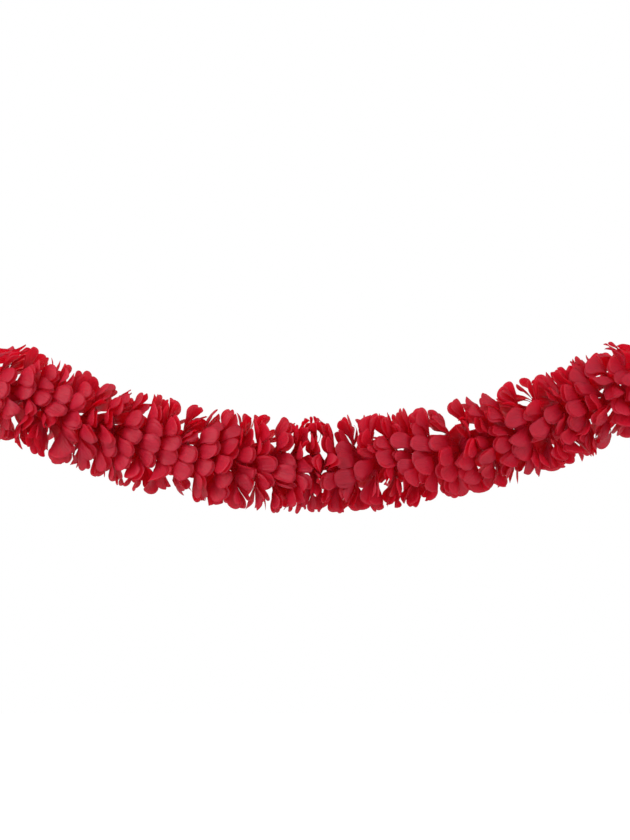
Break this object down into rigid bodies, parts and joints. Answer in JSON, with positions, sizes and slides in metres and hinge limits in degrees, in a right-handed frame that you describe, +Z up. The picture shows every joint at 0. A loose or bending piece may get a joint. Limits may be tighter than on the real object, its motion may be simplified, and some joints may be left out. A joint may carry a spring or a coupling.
{
  "type": "flower garland",
  "caption": "Red tissue-paper flower garland hanging as a swag: die-cut flowers glued in turn at petals and hubs, hinged at every hub, with an end card and string loop at each end.",
  "frame": {"origin": "the inside of the left string loop's far end, where the left hook holds it", "axes": "+X along the garland from the left hook to the right hook, +Y from the viewer to the wall behind, +Z up"},
  "size_m": [1.1752, 0.1596, 0.2763],
  "materials": {
    "red_tissue": "matte",
    "red_card": "matte",
    "cream_cotton": "matte"
  },
  "bodies": {
    "flower_01": {"paper_flower_01": "red_tissue"},
    "flower_02": {"paper_flower_02": "red_tissue"},
    "flower_03": {"paper_flower_03": "red_tissue"},
    "flower_04": {"paper_flower_04": "red_tissue"},
    "flower_05": {"paper_flower_05": "red_tissue"},
    "flower_06": {"paper_flower_06": "red_tissue"},
    "flower_07": {"paper_flower_07": "red_tissue"},
    "flower_08": {"paper_flower_08": "red_tissue"},
    "flower_09": {"paper_flower_09": "red_tissue"},
    "flower_10": {"paper_flower_10": "red_tissue"},
    "flower_11": {"paper_flower_11": "red_tissue"},
    "flower_12": {"paper_flower_12": "red_tissue"},
    "flower_13": {"paper_flower_13": "red_tissue"},
    "flower_14": {"paper_flower_14": "red_tissue"},
    "flower_15": {"paper_flower_15": "red_tissue"},
    "flower_16": {"paper_flower_16": "red_tissue"},
    "flower_17": {"paper_flower_17": "red_tissue"},
    "flower_18": {"paper_flower_18": "red_tissue"},
    "flower_19": {"paper_flower_19": "red_tissue"},
    "flower_20": {"paper_flower_20": "red_tissue"},
    "flower_21": {"paper_flower_21": "red_tissue"},
    "flower_22": {"paper_flower_22": "red_tissue"},
    "flower_23": {"paper_flower_23": "red_tissue"},
    "flower_24": {"paper_flower_24": "red_tissue"},
    "flower_25": {"paper_flower_25": "red_tissue"},
    "flower_26": {"paper_flower_26": "red_tissue"},
    "flower_27": {"paper_flower_27": "red_tissue"},
    "flower_28": {"paper_flower_28": "red_tissue"},
    "flower_29": {"paper_flower_29": "red_tissue"},
    "flower_30": {"paper_flower_30": "red_tissue"},
    "flower_31": {"paper_flower_31": "red_tissue"},
    "flower_32": {"paper_flower_32": "red_tissue"},
    "flower_33": {"paper_flower_33": "red_tissue"},
    "flower_34": {"paper_flower_34": "red_tissue"},
    "flower_35": {"paper_flower_35": "red_tissue"},
    "left_end": {"end_flower_left": "red_tissue", "end_card_left": "red_card"},
    "right_end": {"end_flower_right": "red_tissue", "end_card_right": "red_card"},
    "left_loop": {"hanging_loop_left": "cream_cotton"},
    "right_loop": {"hanging_loop_right": "cream_cotton"}
  },
  "joints": [
    {"name": "hub_right_01", "type": "hinge", "parent": "flower_18", "child": "flower_19", "pos_m": [0.60141, 0, -0.16917], "axis": [0, -1, 0], "range_deg": [-1.72, 2.5]},
    {"name": "hub_left_01", "type": "hinge", "parent": "flower_18", "child": "flower_17", "pos_m": [0.57041, 0, -0.16917], "axis": [0, 1, 0], "range_deg": [-1.72, 2.5]},
    {"name": "hub_right_02", "type": "hinge", "parent": "flower_19", "child": "flower_20", "pos_m": [0.6324, 0, -0.16823], "axis": [0, -1, 0], "range_deg": [-1.72, 2.5]},
    {"name": "hub_left_02", "type": "hinge", "parent": "flower_17", "child": "flower_16", "pos_m": [0.53943, 0, -0.16823], "axis": [0, 1, 0], "range_deg": [-1.72, 2.5]},
    {"name": "hub_right_03", "type": "hinge", "parent": "flower_20", "child": "flower_21", "pos_m": [0.66334, 0, -0.16637], "axis": [0, -1, 0], "range_deg": [-1.71, 2.49]},
    {"name": "hub_left_03", "type": "hinge", "parent": "flower_16", "child": "flower_15", "pos_m": [0.50848, 0, -0.16637], "axis": [0, 1, 0], "range_deg": [-1.71, 2.49]},
    {"name": "hub_right_04", "type": "hinge", "parent": "flower_21", "child": "flower_22", "pos_m": [0.69421, 0, -0.16359], "axis": [0, -1, 0], "range_deg": [-1.71, 2.47]},
    {"name": "hub_left_04", "type": "hinge", "parent": "flower_15", "child": "flower_14", "pos_m": [0.47761, 0, -0.16359], "axis": [0, 1, 0], "range_deg": [-1.71, 2.47]},
    {"name": "hub_right_05", "type": "hinge", "parent": "flower_22", "child": "flower_23", "pos_m": [0.72499, 0, -0.15988], "axis": [0, -1, 0], "range_deg": [-1.69, 2.46]},
    {"name": "hub_left_05", "type": "hinge", "parent": "flower_14", "child": "flower_13", "pos_m": [0.44683, 0, -0.15988], "axis": [0, 1, 0], "range_deg": [-1.69, 2.46]},
    {"name": "hub_right_06", "type": "hinge", "parent": "flower_23", "child": "flower_24", "pos_m": [0.75564, 0, -0.15527], "axis": [0, -1, 0], "range_deg": [-1.68, 2.43]},
    {"name": "hub_left_06", "type": "hinge", "parent": "flower_13", "child": "flower_12", "pos_m": [0.41618, 0, -0.15527], "axis": [0, 1, 0], "range_deg": [-1.68, 2.43]},
    {"name": "hub_right_07", "type": "hinge", "parent": "flower_24", "child": "flower_25", "pos_m": [0.78615, 0, -0.14976], "axis": [0, -1, 0], "range_deg": [-1.66, 2.41]},
    {"name": "hub_left_07", "type": "hinge", "parent": "flower_12", "child": "flower_11", "pos_m": [0.38568, 0, -0.14976], "axis": [0, 1, 0], "range_deg": [-1.66, 2.41]},
    {"name": "hub_right_08", "type": "hinge", "parent": "flower_25", "child": "flower_26", "pos_m": [0.81648, 0, -0.14337], "axis": [0, -1, 0], "range_deg": [-1.64, 2.38]},
    {"name": "hub_left_08", "type": "hinge", "parent": "flower_11", "child": "flower_10", "pos_m": [0.35534, 0, -0.14337], "axis": [0, 1, 0], "range_deg": [-1.64, 2.38]},
    {"name": "hub_right_09", "type": "hinge", "parent": "flower_26", "child": "flower_27", "pos_m": [0.84662, 0, -0.13611], "axis": [0, -1, 0], "range_deg": [-1.62, 2.35]},
    {"name": "hub_left_09", "type": "hinge", "parent": "flower_10", "child": "flower_09", "pos_m": [0.32521, 0, -0.13611], "axis": [0, 1, 0], "range_deg": [-1.62, 2.35]},
    {"name": "hub_right_10", "type": "hinge", "parent": "flower_27", "child": "flower_28", "pos_m": [0.87654, 0, -0.12801], "axis": [0, -1, 0], "range_deg": [-1.59, 2.31]},
    {"name": "hub_left_10", "type": "hinge", "parent": "flower_09", "child": "flower_08", "pos_m": [0.29528, 0, -0.12801], "axis": [0, 1, 0], "range_deg": [-1.59, 2.31]},
    {"name": "hub_right_11", "type": "hinge", "parent": "flower_28", "child": "flower_29", "pos_m": [0.90622, 0, -0.11908], "axis": [0, -1, 0], "range_deg": [-1.57, 2.27]},
    {"name": "hub_left_11", "type": "hinge", "parent": "flower_08", "child": "flower_07", "pos_m": [0.2656, 0, -0.11908], "axis": [0, 1, 0], "range_deg": [-1.57, 2.27]},
    {"name": "hub_right_12", "type": "hinge", "parent": "flower_29", "child": "flower_30", "pos_m": [0.93565, 0, -0.10933], "axis": [0, -1, 0], "range_deg": [-1.54, 2.23]},
    {"name": "hub_left_12", "type": "hinge", "parent": "flower_07", "child": "flower_06", "pos_m": [0.23617, 0, -0.10933], "axis": [0, 1, 0], "range_deg": [-1.54, 2.23]},
    {"name": "hub_right_13", "type": "hinge", "parent": "flower_30", "child": "flower_31", "pos_m": [0.96481, 0, -0.0988], "axis": [0, -1, 0], "range_deg": [-1.51, 2.19]},
    {"name": "hub_left_13", "type": "hinge", "parent": "flower_06", "child": "flower_05", "pos_m": [0.20702, 0, -0.0988], "axis": [0, 1, 0], "range_deg": [-1.51, 2.19]},
    {"name": "hub_right_14", "type": "hinge", "parent": "flower_31", "child": "flower_32", "pos_m": [0.99368, 0, -0.08751], "axis": [0, -1, 0], "range_deg": [-1.48, 2.15]},
    {"name": "hub_left_14", "type": "hinge", "parent": "flower_05", "child": "flower_04", "pos_m": [0.17815, 0, -0.08751], "axis": [0, 1, 0], "range_deg": [-1.48, 2.15]},
    {"name": "hub_right_15", "type": "hinge", "parent": "flower_32", "child": "flower_33", "pos_m": [1.02224, 0, -0.07547], "axis": [0, -1, 0], "range_deg": [-1.45, 2.1]},
    {"name": "hub_left_15", "type": "hinge", "parent": "flower_04", "child": "flower_03", "pos_m": [0.14958, 0, -0.07547], "axis": [0, 1, 0], "range_deg": [-1.45, 2.1]},
    {"name": "hub_right_16", "type": "hinge", "parent": "flower_33", "child": "flower_34", "pos_m": [1.0505, 0, -0.06272], "axis": [0, -1, 0], "range_deg": [-1.42, 2.05]},
    {"name": "hub_left_16", "type": "hinge", "parent": "flower_03", "child": "flower_02", "pos_m": [0.12133, 0, -0.06272], "axis": [0, 1, 0], "range_deg": [-1.42, 2.05]},
    {"name": "hub_right_17", "type": "hinge", "parent": "flower_34", "child": "flower_35", "pos_m": [1.07843, 0, -0.04927], "axis": [0, -1, 0], "range_deg": [-1.38, 2.01]},
    {"name": "hub_left_17", "type": "hinge", "parent": "flower_02", "child": "flower_01", "pos_m": [0.0934, 0, -0.04927], "axis": [0, 1, 0], "range_deg": [-1.38, 2.01]},
    {"name": "hub_right_18", "type": "hinge", "parent": "flower_35", "child": "right_end", "pos_m": [1.10603, 0, -0.03515], "axis": [0, -1, 0], "range_deg": [-1.02, 1.47]},
    {"name": "hub_left_18", "type": "hinge", "parent": "flower_01", "child": "left_end", "pos_m": [0.0658, 0, -0.03515], "axis": [0, 1, 0], "range_deg": [-1.02, 1.47]},
    {"name": "left_loop_swing", "type": "hinge", "parent": "left_end", "child": "left_loop", "pos_m": [0.05292, 0, -0.02827], "axis": [0, 1, 0], "range_deg": [-35, 35]},
    {"name": "right_loop_swing", "type": "hinge", "parent": "right_end", "child": "right_loop", "pos_m": [1.1189, 0, -0.02827], "axis": [0, -1, 0], "range_deg": [-35, 35]}
  ],
  "couplings": [
    {"joint": "hub_right_02", "follows": "hub_right_01", "ratio": 0.99819},
    {"joint": "hub_left_02", "follows": "hub_left_01", "ratio": 0.99819},
    {"joint": "hub_right_03", "follows": "hub_right_01", "ratio": 0.9946},
    {"joint": "hub_left_03", "follows": "hub_left_01", "ratio": 0.9946},
    {"joint": "hub_right_04", "follows": "hub_right_01", "ratio": 0.98926},
    {"joint": "hub_left_04", "follows": "hub_left_01", "ratio": 0.98926},
    {"joint": "hub_right_05", "follows": "hub_right_01", "ratio": 0.98223},
    {"joint": "hub_left_05", "follows": "hub_left_01", "ratio": 0.98223},
    {"joint": "hub_right_06", "follows": "hub_right_01", "ratio": 0.97357},
    {"joint": "hub_left_06", "follows": "hub_left_01", "ratio": 0.97357},
    {"joint": "hub_right_08", "follows": "hub_right_07", "ratio": 0.98794},
    {"joint": "hub_left_08", "follows": "hub_left_07", "ratio": 0.98794},
    {"joint": "hub_right_09", "follows": "hub_right_07", "ratio": 0.97451},
    {"joint": "hub_left_09", "follows": "hub_left_07", "ratio": 0.97451},
    {"joint": "hub_right_10", "follows": "hub_right_07", "ratio": 0.95982},
    {"joint": "hub_left_10", "follows": "hub_left_07", "ratio": 0.95982},
    {"joint": "hub_right_11", "follows": "hub_right_07", "ratio": 0.94404},
    {"joint": "hub_left_11", "follows": "hub_left_07", "ratio": 0.94404},
    {"joint": "hub_right_12", "follows": "hub_right_07", "ratio": 0.92723},
    {"joint": "hub_left_12", "follows": "hub_left_07", "ratio": 0.92723},
    {"joint": "hub_right_14", "follows": "hub_right_13", "ratio": 0.97977},
    {"joint": "hub_left_14", "follows": "hub_left_13", "ratio": 0.97977},
    {"joint": "hub_right_15", "follows": "hub_right_13", "ratio": 0.95892},
    {"joint": "hub_left_15", "follows": "hub_left_13", "ratio": 0.95892},
    {"joint": "hub_right_16", "follows": "hub_right_13", "ratio": 0.93752},
    {"joint": "hub_left_16", "follows": "hub_left_13", "ratio": 0.93752},
    {"joint": "hub_right_17", "follows": "hub_right_13", "ratio": 0.91575},
    {"joint": "hub_left_17", "follows": "hub_left_13", "ratio": 0.91575},
    {"joint": "hub_right_18", "follows": "hub_right_13", "ratio": 0.673},
    {"joint": "hub_left_18", "follows": "hub_left_13", "ratio": 0.673}
  ]
}
